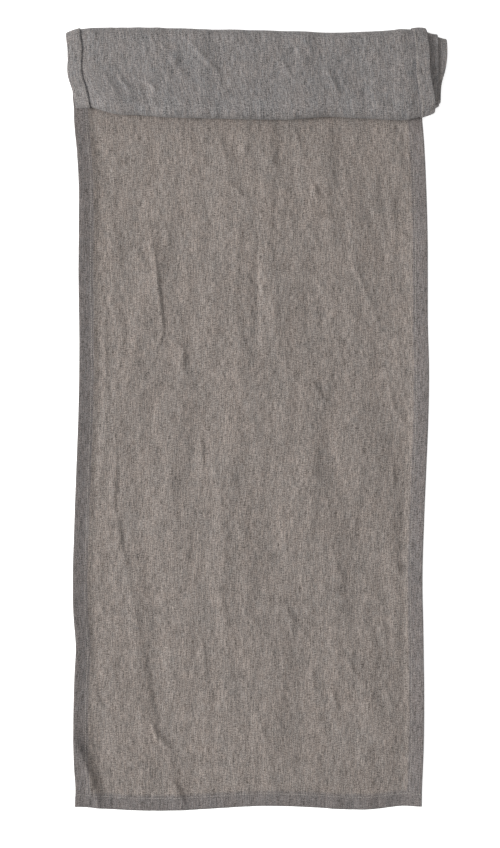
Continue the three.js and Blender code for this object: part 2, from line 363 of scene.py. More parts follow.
ROLL_CREASES = [
    ([(135, 895), (150, 915), (170, 935)], 1.4, 2.6, 3.2),
    ([(115, 915), (130, 940)], 1.1, 2.8, 3),
    ([(55, 930), (65, 960)], 1.3, 2.8, 3),
    ([(40, 935), (50, 965)], 1.0, 3, 3),
    ([(85, 940), (95, 955)], 1.1, 2.8, 3),
    ([(285, 925), (295, 955)], 1.3, 4, 2.6),
    ([(235, 915), (250, 940)], 1.1, 2.8, 3),
    ([(325, 925), (330, 935)], 1.2, 4, 2.6),
    ([(85, 900), (90, 935)], 1.0, 6, 2.6),
    ([(160, 965), (175, 950)], 1.0, 2.8, 3),
    ([(250, 895), (260, 920)], 1.0, 3, 3),
]
CREASE_GAIN = 1.3  # creases are this much higher than real ones, so that they show from above
CREASE_REACH = 3  # a crease is felt out to this many times its fall
CREASE_POWER = 1.4  # 1 is a sharp crest and 2 a round one
END_SHARE = 0.06  # a crease's ends keep a little of its height
TAPER_POWER = 0.6


def crease_height(creases, u, s):
    """The height that those creases add. A negative one is a furrow."""
    total = np.zeros_like(u)
    for points, height, left, right in creases:
        points = np.array(points, float)
        reach = CREASE_REACH * max(left, right)
        near = (
            (u > points[:, 0].min() - reach) & (u < points[:, 0].max() + reach)
            & (s > points[:, 1].min() - reach) & (s < points[:, 1].max() + reach)
        )
        if not near.any():
            continue
        x, y = u[near], s[near]
        best = np.full(x.shape, np.inf)
        signed, taper = np.zeros_like(x), np.zeros_like(x)
        lengths = np.hypot(*np.diff(points, axis=0).T)
        run = np.concatenate([[0], np.cumsum(lengths)])
        for i, length in enumerate(lengths):
            (ax, ay), (bx, by) = points[i], points[i + 1]
            dx, dy = (bx - ax) / length, (by - ay) / length
            along = np.clip((x - ax) * dx + (y - ay) * dy, 0, length)
            gap = np.hypot(x - ax - along * dx, y - ay - along * dy)
            closer = gap < best
            best = np.where(closer, gap, best)
            to_right = ((y - ay) * dx - (x - ax) * dy) * (1 if dy < 0 else -1)
            signed = np.where(closer, np.copysign(gap, to_right), signed)
            share = (run[i] + along) / run[-1]
            arch = np.sin(math.pi * (END_SHARE + (1 - 2 * END_SHARE) * share)) ** TAPER_POWER
            taper = np.where(closer, arch, taper)
        fall = np.where(signed > 0, right, left)
        total[near] += CREASE_GAIN * height * np.exp(-((best / fall) ** CREASE_POWER)) * taper
    return total


print(len(CREASES), "creases on the open cloth,", len(ROLL_CREASES), "on the roll's face")

# %% [markdown]
# ## Swells and crinkles
#
# Between the creases the cloth is never flat. Broad swells lift it off the table, long crinkles run along the
# warp, and where it was wrung there are short fine ridges. Each is a layer of the smooth noise, with cells of
# a real size in millimetres. Folding a noise round zero turns its smooth hills into sharp crests.

# %% Height of the cloth over its lay
SWELLS = [  # height, cell across, cell along, seed, lean
    (1.1, 70, 120, 1, 0),
    (1.2, 30, 80, 2, 0.12),
]
CRINKLES = [
    (0.62, 13, 70, 3, -0.05),
    (0.42, 7, 30, 4, 0.05),
    (0.32, 4.2, 14, 5, 0),
]
KINK, KINK_SHAPE = 2.2, (17, 15, 21)  # crinkles run crookedly, by this much sideways
RIDGES = [  # cell across, cell along, seed, lean
    (18, 26, 11, 0.7),
    (17, 28, 12, -0.6),
]
PATCH = (44, 52)  # ridges come in patches of this size
RIDGE_HEIGHT = 0.55
RIDGE_POWER = 8  # the higher, the narrower a ridge


def layers(u, s, parts):
    """Layers of noise added up."""
    return sum(height * noise(u, s, *shape) for height, *shape in parts)


def ridges(u, s, cell_u, cell_s, seed, lean):
    """Fine sharp ridges from folded noise, where a slower noise lets them through."""
    crest = np.clip(1 - np.abs(noise(u, s, cell_u, cell_s, seed, lean)), 0, 1) ** RIDGE_POWER
    return crest * smooth_step(noise(u, s, *PATCH, seed + len(RIDGES)), 0, 0.6)


LEFT_CURL, RIGHT_CURL = 2.8, 3.5  # how far the side edges stand up
CURL_START, CURL_WIDTH = -2, 20  # from just outside the edge to this far in
MEAN_LIFT = 3.4  # the open cloth's mean height off the table
LEAST_LIFT = 0.45  # the least, so that stitches clear the table
STIFF = 0.3  # a hem of three plies takes only this share of the crinkles
HEM_BLEND = 6  # and takes more of them over this far to each side of its inner edge
PRESSED = 0.4  # how high the cloth lies where the roll starts to press on it
PRESS_START, PRESS_END = 34, 2  # it comes down between these distances from the roll
FLAT_UNDER_ROLL = 40  # and is flat this far under it
ROLL_DROOP, DROOP_START = 3.0, -8  # the roll's face lies this much lower at its left edge
ROLL_SWELL, ROLL_CRINKLE = 0.4, 0.85  # the roll's face is pulled a little flatter than the open cloth
FACE_START, FACE_END = 12, 4  # the relief of the face starts and ends this far past a fold's start
SOFT_FLOOR = 0.5  # a height that runs out flattens over about this much


def softly_above_zero(x):
    """x where it is well above zero, and nearly zero where it is below."""
    return (x + np.sqrt(x * x + SOFT_FLOOR**2)) / 2


def cloth_height(u, s):
    """How far the cloth stands off its lay, in mm: up from the table, and out from the roll."""
    kinked = u + KINK * noise(u, s, *KINK_SHAPE)
    fine = sum(ridges(u, s, *shape) for shape in RIDGES)
    swell = layers(u, s, SWELLS)
    crinkle = layers(kinked, s, CRINKLES) + RIDGE_HEIGHT * fine
    off_hem = smooth_step(np.minimum(u, CLOTH_WIDTH - u), HEM_WIDTH - HEM_BLEND, HEM_WIDTH + HEM_BLEND)
    crinkle = crinkle * (STIFF + (1 - STIFF) * off_hem)

    curl = LEFT_CURL * (1 - smooth_step(u, CURL_START, CURL_WIDTH))
    curl = curl + RIGHT_CURL * (1 - smooth_step(CLOTH_WIDTH - u, CURL_START, CURL_WIDTH))
    laid = MEAN_LIFT + curl + swell + crinkle + crease_height(CREASES, u, s)
    laid = LEAST_LIFT + softly_above_zero(laid - LEAST_LIFT)
    pressed = smooth_step(s, OPEN_LENGTH - PRESS_START, OPEN_LENGTH - PRESS_END)
    laid = laid + (PRESSED - laid) * pressed
    laid = laid * (1 - smooth_step(s, OPEN_LENGTH, OPEN_LENGTH + FLAT_UNDER_ROLL))

    droop = ROLL_DROOP * (1 - smooth_step(u, DROOP_START, HEM_WIDTH))
    rolled = ROLL_DROOP - droop + ROLL_SWELL * swell + ROLL_CRINKLE * crinkle
    rolled = softly_above_zero(rolled + crease_height(ROLL_CREASES, u, s))
    rolled = rolled * smooth_step(s, LAID_LENGTH + FACE_START, FIRST_FOLD_END)
    rolled = rolled * (1 - smooth_step(s, SECOND_FOLD + FACE_END, SECOND_FOLD_END))
    return laid, rolled


laid_try, rolled_try = cloth_height(*np.meshgrid(np.arange(0, 400, 4.0), np.arange(0, 1000, 4.0)))
print(f"the open cloth stands up to {laid_try.max():.1f} mm off the table")
print(f"the roll's face stands up to {rolled_try.max():.1f} mm off its lay")

# %% [markdown]
# ## From the flat cloth into space
#
# One function takes any point of the flat cloth to its place. Because the cloth, the hems and the stitches
# all go through it, they stay together wherever the cloth swells, creases or turns. Modelling the roll by
# hand and fitting the hems to it afterwards would leave gaps.

# %% The place of any point of the cloth
SAG = 6  # the roll's near side sags: its foot slides out and its top comes back, by half of this each


def lay(u, s, h):
    """The place in space, in metres, of the cloth's point (u across, s along, h up the stack)."""
    u, s, h = np.broadcast_arrays(*(np.asarray(a, float) for a in (u, s, h)))
    y, z, ny, nz = lay_line(s)
    laid, rolled = cloth_height(u, s)
    x = across_x(u, s)
    near_side = smooth_step(FOLD_Y - y, ROLL_RUN / 2, ROLL_RUN)
    near_side = near_side * smooth_step(s, LAID_LENGTH, FIRST_FOLD_END)
    y = y + settle_y(x, y, s) - SAG * (0.5 - z / (2 * ROLL_RADIUS)) * near_side
    rise = h + laid - rolled
    return np.stack([x, y + rise * ny, z + rise * nz], axis=-1) * MM


print("the cloth's near left corner is at", np.round(lay(0, 0, 0), 4))

# %% [markdown]
# ## Cloth with a real thickness
#
# Each stretch of cloth is a closed shell: a fine grid on the face that shows, a grid half as fine on the
# other face, and narrow walls between them. A Solidify modifier would thicken a single grid, but both faces
# would then be as fine, and the hidden one would cost as many triangles as the one that shows.
#
# The flat cloth's coordinates go into a UV map, in metres, so that the weave follows the cloth round the
# roll. A second attribute says how many plies lie at a point. Light passes through one ply of linen and comes
# back from the table, so three plies look darker, and the linen paints that in as painted shade, darker and
# cooler.

# %% A closed shell from two grids
SMALL_RADIUS_HEM = 0.6  # the hem's outer edge turns on this radius
EDGE_START = SMALL_RADIUS_HEM + PLY / 2  # the flat cloth starts this far in from a turned edge


def new_object(name, points, faces, flat, plies, face_slots=None):
    """A mesh object from points in metres, each with its place on the flat cloth and its plies."""
    mesh = bpy.data.meshes.new(name)
    mesh.from_pydata([tuple(p) for p in points], [], faces)
    loops = np.empty(len(mesh.loops), np.int32)
    mesh.loops.foreach_get("vertex_index", loops)
    uv = mesh.uv_layers.new(name="flat_cloth")
    uv.data.foreach_set("uv", (np.asarray(flat)[loops] * MM).astype(np.float32).ravel())
    attribute = mesh.attributes.new("plies", "FLOAT", "POINT")
    attribute.data.foreach_set("value", np.asarray(plies, np.float32))
    if face_slots is not None:
        mesh.polygons.foreach_set("material_index", np.asarray(face_slots, np.int32))
    mesh.polygons.foreach_set("use_smooth", np.ones(len(mesh.polygons), bool))
    mesh.update()
    thing = bpy.data.objects.new(name, mesh)
    bpy.context.scene.collection.objects.link(thing)
    return thing


def hem_slope(distance, reach):
    """1 on a hem, 0 on the cloth beyond its slope."""
    return 1 - smooth_step(distance, HEM_WIDTH, HEM_WIDTH + reach)


LAID_SLOPE = 8  # on the table the cloth comes down slowly from a hem
ROLL_SLOPE = 1.0  # in the roll it is pressed flat beside the hem
ROLL_RECESS = 1.3  # and lies this far below the hem's face, in a shallow trough
RECESS_REACH = 16
# A hem's painted shade, its three plies painted darker, fades out over this much cloth.
SHADE_EDGE = 1.5  # a hem's shade ends over this much cloth


def cloth_lift(u, s):
    """The cloth's height over its hems, which lie under its right side."""
    reach = LAID_SLOPE + (ROLL_SLOPE - LAID_SLOPE) * smooth_step(s, OPEN_LENGTH, LAID_LENGTH)
    from_side = np.minimum(u, CLOTH_WIDTH - u)
    side = hem_slope(from_side, reach)
    end = hem_slope(np.minimum(s, CLOTH_LENGTH - s), LAID_SLOPE)
    in_roll = smooth_step(s, LAID_LENGTH, LAID_LENGTH + ROLL_RADIUS)
    recess = ROLL_RECESS * in_roll * hem_slope(from_side, RECESS_REACH)
    return np.maximum(LIFT * np.maximum(side, end), recess)


# The ply count drives a painted shade: the linen paints three plies darker and cooler.
def ply_count(u, s):
    """One ply on the open cloth, three on a hem."""
    side = hem_slope(np.minimum(u, CLOTH_WIDTH - u), SHADE_EDGE)
    end = hem_slope(np.minimum(s, CLOTH_LENGTH - s), SHADE_EDGE)
    return 1 + 2 * np.maximum(side, end)


def stations(start, end, step, marks=()):
    """An odd number of stations from start to end, about step apart, with the marks among them."""
    marks = [start] + sorted(m for m in marks if start < m < end) + [end]
    found = [start]
    for a, b in zip(marks, marks[1:]):
        count = 2 * max(1, round((b - a) / step / 2))
        found += list(a + (b - a) * np.arange(1, count + 1) / count)
    return np.array(found)


def across_stations(step):
    """Stations from the left edge to the right one, with the hems' inner edges among them."""
    inner = [HEM_WIDTH, HEM_WIDTH + ROLL_SLOPE, HEM_WIDTH + LAID_SLOPE]
    return stations(0, CLOTH_WIDTH, step, inner + [CLOTH_WIDTH - m for m in inner])


def grid_points(us, ss, offset):
    """Rows of points on one face of the cloth, offset up the stack from its lower face."""
    u, s = np.meshgrid(us, ss)
    past_near_hem = smooth_step(s, HEM_WIDTH - 1, HEM_WIDTH + 1)
    in_far_hem = smooth_step(s, CLOTH_LENGTH - HEM_WIDTH - 1, CLOTH_LENGTH)
    inset = EDGE_START * past_near_hem * (1 - in_far_hem)
    u = np.clip(u, inset, CLOTH_WIDTH - inset)
    s = np.clip(s, EDGE_START, CLOTH_LENGTH - EDGE_START)
    points = lay(u, s, cloth_lift(u, s) + offset)
    return points.reshape(-1, 3), np.stack([u, s], -1).reshape(-1, 2), ply_count(u, s).ravel()


def along_stations(*bands):
    """Stations through bands of (start, step), up to the last band's start."""
    found = [bands[0][0]]
    for (start, step), (end, _) in zip(bands, bands[1:]):
        found += list(stations(start, end, step)[1:])
    return np.array(found)


def cloth_stretch(name, us, ss, fine_inside):
    """One stretch of the cloth as a closed shell. fine_inside puts the fine grid on the right side."""
    fine, fine_flat, fine_plies = grid_points(us, ss, PLY if fine_inside else 0)
    coarse, coarse_flat, coarse_plies = grid_points(us[::2], ss[::2], 0 if fine_inside else PLY)
    nu, ns = len(us), len(ss)
    cu, cs = (nu + 1) // 2, (ns + 1) // 2
    base = nu * ns
    faces = []
    for j in range(ns - 1):
        for i in range(nu - 1):
            a = j * nu + i
            faces.append((a, a + 1, a + nu + 1, a + nu))
    for j in range(cs - 1):
        for i in range(cu - 1):
            a = base + j * cu + i
            faces.append((a, a + cu, a + cu + 1, a + 1))
    fine_count, coarse_count = (nu - 1) * (ns - 1), (cu - 1) * (cs - 1)
    for row, turn in ((0, 1), (ns - 1, -1)):
        for i in range(cu - 1):
            f, c = row * nu + 2 * i, base + (row // 2) * cu + i
            faces.append((f + 2, f + 1, f, c, c + 1)[::turn])
    for column, turn in ((0, -1), (nu - 1, 1)):
        for j in range(cs - 1):
            f, c = 2 * j * nu + column, base + j * cu + column // 2
            faces.append((f + 2 * nu, f + nu, f, c, c + cu)[::turn])
    walls = len(faces) - fine_count - coarse_count
    right, wrong = 0, 1
    fine_side, coarse_side = (right, wrong) if fine_inside else (wrong, right)
    sides = [fine_side] * fine_count + [coarse_side] * coarse_count + [right] * walls
    if not fine_inside:
        faces = [face[::-1] for face in faces]
    thing = new_object(
        name,
        np.concatenate([fine, coarse]),
        faces,
        np.concatenate([fine_flat, coarse_flat]),
        np.concatenate([fine_plies, coarse_plies]),
        sides,
    )
    print(name, len(faces), "faces")
    return thing


# %% [markdown]
# ## Three stretches of one cloth
#
# The cloth is cut where it moves. The open length lies on the table. The outer turn goes round the fold,
# over the roll and down its near side. The inner turns ride inside the roll and hardly show, so their grid is
# coarser. A grid as fine everywhere would pass what one piece may hold, so the steps are small only where
# creases are close together.

# %% The cloth
FINE_STEP, COARSE_STEP = 1.45, 5.0  # between stations across the cloth
INNER_STEP = 2.6
fine_across = across_stations(FINE_STEP)
laid_along = along_stations((0, 2.4), (180, 4.4), (420, 2.5), (710, 3), (OPEN_LENGTH, 8), (LAID_LENGTH, 0))
turn_along = along_stations(
    (LAID_LENGTH, 1.8), (FIRST_FOLD_END, 1.8), (SECOND_FOLD, 1.5), (SECOND_FOLD_END, 0)
)
inner_along = stations(SECOND_FOLD_END, CLOTH_LENGTH, INNER_STEP)
laid_cloth = cloth_stretch("laid_cloth_linen", fine_across, laid_along, True)
outer_turn = cloth_stretch("outer_turn_linen", fine_across, turn_along, False)
inner_turns = cloth_stretch("inner_turns_linen", across_stations(COARSE_STEP), inner_along, False)

# %% [markdown]
# ## The turned hems
#
# A hem is the cloth's own edge, folded under and tucked in on itself, so each hem here is a narrow folded
# strip. Its section starts level with the cloth, goes round the outer edge, runs in under the cloth, and
# turns back at the inner fold to hide the raw edge. A bevelled curve could sweep that section, but it would
# not follow the cloth's relief, so the rings are laid one by one. The line of the ply's middle is drawn
# first, then given its thickness.

# %% Hem strips
def hem_line():
    """The middle of the hem's ply in section, as (in from the edge, height) points."""
    turn = SMALL_RADIUS_HEM
    fold = (PLY + PLY_GAP) / 2
    inner = HEM_WIDTH - PLY / 2 - fold
    outside = [math.pi / 2 + math.pi * i / 8 for i in range(9)]
    inside = [-math.pi / 2 + math.pi * i / 5 for i in range(6)]
    line = [(EDGE_START + turn * math.cos(a), PLY / 2 + turn + turn * math.sin(a)) for a in outside]
    line += [(inner * share, PLY / 2) for share in (0.25, 0.5, 0.75)]
    line += [(inner + fold * math.cos(a), PLY / 2 + fold + fold * math.sin(a)) for a in inside]
    line += [(HEM_WIDTH - TUCK_WIDTH, PLY / 2 + 2 * fold)]
    return np.array(line)


def thickened(line, thickness):
    """A closed outline round a line, half the thickness to each side."""
    way = np.gradient(line, axis=0)
    way /= np.hypot(way[:, 0], way[:, 1])[:, None]
    normal = np.stack([-way[:, 1], way[:, 0]], -1) * thickness / 2
    return np.concatenate([line + normal, (line - normal)[::-1]])


def swept_strip(name, rings, flats, plies):
    """A closed strip through rings of points, with its two ends capped."""
    rings, flats = np.array(rings), np.array(flats)
    count, size = rings.shape[:2]
    faces = []
    for r in range(count - 1):
        for i in range(size):
            a, b = r * size + i, r * size + (i + 1) % size
            faces.append((a, b, b + size, a + size))
    half = size // 2
    for i in range(half - 1):
        quad = (i, i + 1, size - 2 - i, size - 1 - i)
        last = (count - 1) * size
        faces.append(quad[::-1])
        faces.append(tuple(last + q for q in quad))
    plies = np.full(count * size, plies)
    thing = new_object(name, rings.reshape(-1, 3), faces, flats.reshape(-1, 2), plies)
    signed_volume = sum(face.center.dot(face.normal) * face.area for face in thing.data.polygons)
    if signed_volume < 0:  # the strip is inside out
        thing.data.flip_normals()
    return thing


HEM_SECTION = thickened(hem_line(), PLY)
# Hem strips carry one ply, so none of the painted ply shade falls on them.
HEM_PLIES = 1.0  # a hem is only seen from its own side, where it lies in front of the rest


def side_hem(name, side, start, end, step):
    """A stretch of the left (-1) or right (1) hem."""
    inward, height = HEM_SECTION.T
    across = inward if side < 0 else CLOTH_WIDTH - inward
    unfolded = -inward if side < 0 else CLOTH_WIDTH + inward
    rings, flats = [], []
    for s in stations(start, end, step):
        rings.append(lay(across, s, height))
        flats.append(np.stack([unfolded, np.full(len(inward), s)], -1))
    return swept_strip(name, rings, flats, HEM_PLIES)


def end_hem(name, near, step):
    """The near or the far end's hem, from side to side."""
    inward, height = HEM_SECTION.T
    along = inward if near else CLOTH_LENGTH - inward
    unfolded = -inward if near else CLOTH_LENGTH + inward
    rings, flats = [], []
    for u in stations(0, CLOTH_WIDTH, step):
        rings.append(lay(u, along, height))
        flats.append(np.stack([np.full(len(inward), u), unfolded], -1))
    return swept_strip(name, rings, flats, HEM_PLIES)


HEM_END_GAP = 0.3  # a side hem stops just short of the end hem that is folded over it
hem_from, hem_to = HEM_WIDTH + HEM_END_GAP, CLOTH_LENGTH - HEM_WIDTH - HEM_END_GAP
STRETCHES = {
    "laid": (hem_from, LAID_LENGTH, 2.8),
    "outer_turn": (LAID_LENGTH, SECOND_FOLD_END, 2.0),
    "inner_turns": (SECOND_FOLD_END, hem_to, INNER_STEP),
}
hems = {}
for stretch, (start, end, step) in STRETCHES.items():
    for side_name, side in (("left", -1), ("right", 1)):
        hems[stretch, side_name] = side_hem(f"{stretch}_{side_name}_turned_hem", side, start, end, step)
hems["near_end"] = end_hem("near_end_turned_hem", True, 2.5)
hems["far_end"] = end_hem("far_end_turned_hem", False, 5.0)
print(len(hems), "hem strips of", len(HEM_SECTION), "points in section")

# %% [markdown]
# ## The seams
#
# Each hem is held by one lockstitch seam of two threads. The needle thread shows as a row of short stitches
# on the right side and the bobbin thread as a row on the wrong side. A stitch is a small plump thread that
# dips into the cloth at both ends. Geometry Nodes set one along the seam line every three millimetres,
# because a repeated piece that follows a path is what they are best at, and the result is turned into a
# plain mesh.

# %% The stitch tree
STITCH_PITCH = 3.0
STITCH_LENGTH = 2.5
STITCH_THREAD = 0.42  # a real thread is 0.3, drawn thicker so that it shows
STITCH_SIDES = 6
STITCH_RINGS = [(-0.5, 0.35), (-0.36, 0.85), (-0.14, 1), (0.14, 1), (0.36, 0.85), (0.5, 0.35)]


def stitch_shape():
    """One stitch along X: a thread that narrows where it dips into the cloth. Rings are (place, size)."""
    sides = STITCH_SIDES
    points, faces = [], []
    for share, size in STITCH_RINGS:
        radius = STITCH_THREAD / 2 * size
        dip = -(1 - size) * STITCH_THREAD / 2
        for i in range(sides):
            angle = 2 * math.pi * i / sides
            y, z = radius * math.cos(angle), radius * math.sin(angle) + dip
            points.append((share * STITCH_LENGTH, y, z))
    last = (len(STITCH_RINGS) - 1) * sides
    for r in range(0, last, sides):
        for i in range(sides):
            a, b = r + i, r + (i + 1) % sides
            faces.append((a, a + sides, b + sides, b))
    faces += [tuple(range(sides)), tuple(range(last + sides - 1, last - 1, -1))]
    mesh = bpy.data.meshes.new("one_stitch")
    mesh.from_pydata([tuple(c * MM for c in p) for p in points], [], faces)
    thing = bpy.data.objects.new("one_stitch", mesh)
    bpy.context.scene.collection.objects.link(thing)
    return thing


def add(tree, kind, inputs=None, **settings):
    """Adds a node with its settings. An input is a value, or the output that feeds it."""
    node = tree.nodes.new(kind)
    for name, value in settings.items():
        setattr(node, name, value)
    for name, value in (inputs or {}).items():
        if isinstance(value, bpy.types.NodeSocket):
            tree.links.new(value, node.inputs[name])
        else:
            node.inputs[name].default_value = value
    return node


def stitch_tree():
    """Input: a seam line. Output: a stitch every pitch along it."""
    tree = bpy.data.node_groups.new("stitches_along_a_seam", "GeometryNodeTree")
    face = tree.interface
    face.new_socket("Geometry", in_out="INPUT", socket_type="NodeSocketGeometry")
    face.new_socket("Stitch", in_out="INPUT", socket_type="NodeSocketObject")
    face.new_socket("Pitch", in_out="INPUT", socket_type="NodeSocketFloat")
    face.new_socket("Thread", in_out="INPUT", socket_type="NodeSocketMaterial")
    face.new_socket("Geometry", in_out="OUTPUT", socket_type="NodeSocketGeometry")
    given = add(tree, "NodeGroupInput").outputs
    line = add(tree, "GeometryNodeMeshToCurve", {"Mesh": given["Geometry"]})
    spaced = add(
        tree,
        "GeometryNodeResampleCurve",
        {"Curve": line.outputs["Curve"], "Length": given["Pitch"]},
        mode="LENGTH",
    )
    way = add(tree, "GeometryNodeInputTangent").outputs["Tangent"]
    turned = add(tree, "FunctionNodeAlignRotationToVector", {"Vector": way}, axis="X")
    one = add(tree, "GeometryNodeObjectInfo", {"Object": given["Stitch"]})
    placed = add(
        tree,
        "GeometryNodeInstanceOnPoints",
        {
            "Points": spaced.outputs["Curve"],
            "Instance": one.outputs["Geometry"],
            "Rotation": turned.outputs["Rotation"],
        },
    )
    real = add(tree, "GeometryNodeRealizeInstances", {"Geometry": placed.outputs["Instances"]})
    painted = add(
        tree,
        "GeometryNodeSetMaterial",
        {"Geometry": real.outputs["Geometry"], "Material": given["Thread"]},
    )
    add(tree, "NodeGroupOutput", {"Geometry": painted.outputs["Geometry"]})
    return tree


def socket(tree, name):
    """The identifier of a tree's input, which is what a modifier knows it by."""
    inputs = [item for item in tree.interface.items_tree if item.in_out == "INPUT"]
    return next(item.identifier for item in inputs if item.name == name)


STITCHES = stitch_tree()
ONE_STITCH = stitch_shape()
print("stitch tree has", len(STITCHES.nodes), "nodes")

# %% [markdown]
# ## Colours
#
# Colours are written as sRGB hex, as a picker shows them, and one function turns them to the linear values
# that a shader needs.

# %% Hex to linear
def colour(hex_text):
    """An sRGB hex colour as linear RGBA."""
    values = [int(hex_text[i : i + 2], 16) / 255 for i in (0, 2, 4)]
    return tuple(v / 12.92 if v <= 0.04045 else ((v + 0.055) / 1.055) ** 2.4 for v in values) + (1,)


print("a mid grey of 808080 is", round(colour("808080")[0], 3), "in linear light")

# %% [markdown]
# ## The finish: washed mélange linen
#
# Linen is woven from flax yarns of uneven thickness, here in two greys, one warm and one cool, so the cloth
# looks mottled thread by thread. It is matt, with a faint sheen where fibre ends catch the light. Warp yarns
# run along the runner and give it fine long streaks, weft yarns cross them in shorter ones, and both have
# thick places, the slubs. The yarns are 0.75 mm apart on the real cloth. They are drawn a third coarser,
# because finer ones don't show at this distance.
#
# A checked weave pattern could be drawn yarn by yarn, but at arm's length the eye sees only the mottle, so
# each kind of yarn is a noise stretched along its way. All of them read the flat cloth's own UV map. The
# sockets of Mix and Math nodes share names, so they are set by number: a Mix node's factor is 0 and its two
# colours are 6 and 7.

# %% Linen
# Painted shade: three plies are painted darker and cooler by this much, for the light that one ply lets through
# from the table.
THREE_PLY_PAINTED_SHADE = "dee1e7"  # how much darker and cooler three plies look than one
YARN_RELIEF = 0.25  # a yarn stands up by this much


def linen(name, warm, cool, dark, light, seed):
    """Linen of a warm and a cool yarn, shaded between dark and light. The seed keeps two sides unlike."""
    material = bpy.data.materials.new(name)
    material.use_nodes = True
    tree = material.node_tree
    tree.nodes.clear()
    flat = add(tree, "ShaderNodeUVMap", uv_map="flat_cloth").outputs["UV"]

    def yarns(across, along, shift, detail=1.0):
        """Noise with cells of that size on the flat cloth, in mm."""
        place = add(
            tree,
            "ShaderNodeMapping",
            {
                "Vector": flat,
                "Location": (shift, seed, 0),
                "Scale": (1 / (across * MM), 1 / (along * MM), 1),
            },
        )
        return add(
            tree,
            "ShaderNodeTexNoise",
            {"Vector": place.outputs["Vector"], "Scale": 1.0, "Detail": detail, "Roughness": 0.55},
            noise_dimensions="2D",
        ).outputs["Fac"]

    def sum_of(parts):
        """0.5 plus each noise's departure from 0.5, times its weight."""
        total = 0.5 - 0.5 * sum(weight for _, weight in parts)
        for value, weight in parts:
            total = add(
                tree, "ShaderNodeMath", {0: value, 1: weight, 2: total}, operation="MULTIPLY_ADD"
            ).outputs[0]
        return total

    warp = yarns(1.0, 12, 3.1)
    weft = yarns(5, 1.05, 7.7)
    speckle = yarns(0.9, 1.0, 11.9, 2.0)
    slub = yarns(2.4, 22, 23.3)
    streak = yarns(7, 60, 31.7)
    blotch = yarns(26, 60, 41.3)
    yarn_shades = [(speckle, 1.75), (warp, 0.85), (weft, 0.7)]
    shade = sum_of(yarn_shades + [(slub, 0.12), (streak, 0.1), (blotch, 0.12)])
    hue = sum_of([(yarns(2.0, 9, 53.9), 1.6), (yarns(24, 50, 61.1), 0.8)])
    between = add(tree, "ShaderNodeMix", {0: hue, 6: colour(warm), 7: colour(cool)}, data_type="RGBA")
    ramp = add(tree, "ShaderNodeValToRGB", {"Fac": shade})
    ramp.color_ramp.elements[0].position = 0.0
    ramp.color_ramp.elements[0].color = colour(dark)
    ramp.color_ramp.elements[1].position = 1.0
    ramp.color_ramp.elements[1].color = colour(light)
    shaded = add(
        tree,
        "ShaderNodeMix",
        {0: 1.0, 6: between.outputs[2], 7: ramp.outputs["Color"]},
        data_type="RGBA",
        blend_type="MULTIPLY",
    )
    # Painted shade: where the plies attribute reaches three, the colour is multiplied darker and cooler.
    plies = add(tree, "ShaderNodeAttribute", attribute_name="plies").outputs["Fac"]
    ply_shade_share = add(tree, "ShaderNodeMapRange", {"Value": plies, 1: 1.0, 2: 3.0, 3: 0.0, 4: 1.0}).outputs[0]
    ply_shaded = add(
        tree,
        "ShaderNodeMix",
        {0: ply_shade_share, 6: shaded.outputs[2], 7: colour(THREE_PLY_PAINTED_SHADE)},
        data_type="RGBA",
        blend_type="MULTIPLY",
    )
    relief = sum_of([(speckle, 1.0), (warp, 0.9), (weft, 0.8)])
    bump = add(tree, "ShaderNodeBump", {"Height": relief, "Strength": 0.35, "Distance": YARN_RELIEF * MM})
    shader = add(
        tree,
        "ShaderNodeBsdfPrincipled",
        {
            "Base Color": ply_shaded.outputs[2],
            "Roughness": 0.92,
            "IOR": 1.5,
            "Specular IOR Level": 0.25,
            "Sheen Weight": 0.12,
            "Sheen Roughness": 0.6,
            "Normal": bump.outputs["Normal"],
        },
    )
    add(tree, "ShaderNodeOutputMaterial", {"Surface": shader.outputs["BSDF"]})
    return material


RIGHT_SIDE = linen("washed_linen_right_side", "aa9e96", "9d9691", "5c5855", "ffffff", 0.0)
# The wrong side has cooler yarns, and it is also painted darker: painted shade of the plies of the roll under
# its face.
WRONG_SIDE_WITH_PAINTED_SHADE = linen("washed_linen_wrong_side_with_painted_shade", "a49c98", "949292", "5a5a5a", "ffffff", 90.0)
print("two sides of one cloth:", RIGHT_SIDE.name, WRONG_SIDE_WITH_PAINTED_SHADE.name)

# %% [markdown]
# ## The sewing thread
#
# Spun polyester, two plies twisted, a little lighter than the cloth. It is smoother than linen, so it has a
# lower roughness. The twist could be modelled as two wound strands, but with over two thousand stitches that
# is too many faces, so fine slanting bands 0.7 mm apart stand for it. The bands are painted highlight and
# shade: the light colour lies where the same wave raises the bump, on the twist's crowns.

# %% Thread
TWIST_SCALE = 900.0  # a wave repeats every 2 pi / (10 x scale) metres, here 0.7 mm
TWIST_RELIEF = 0.05


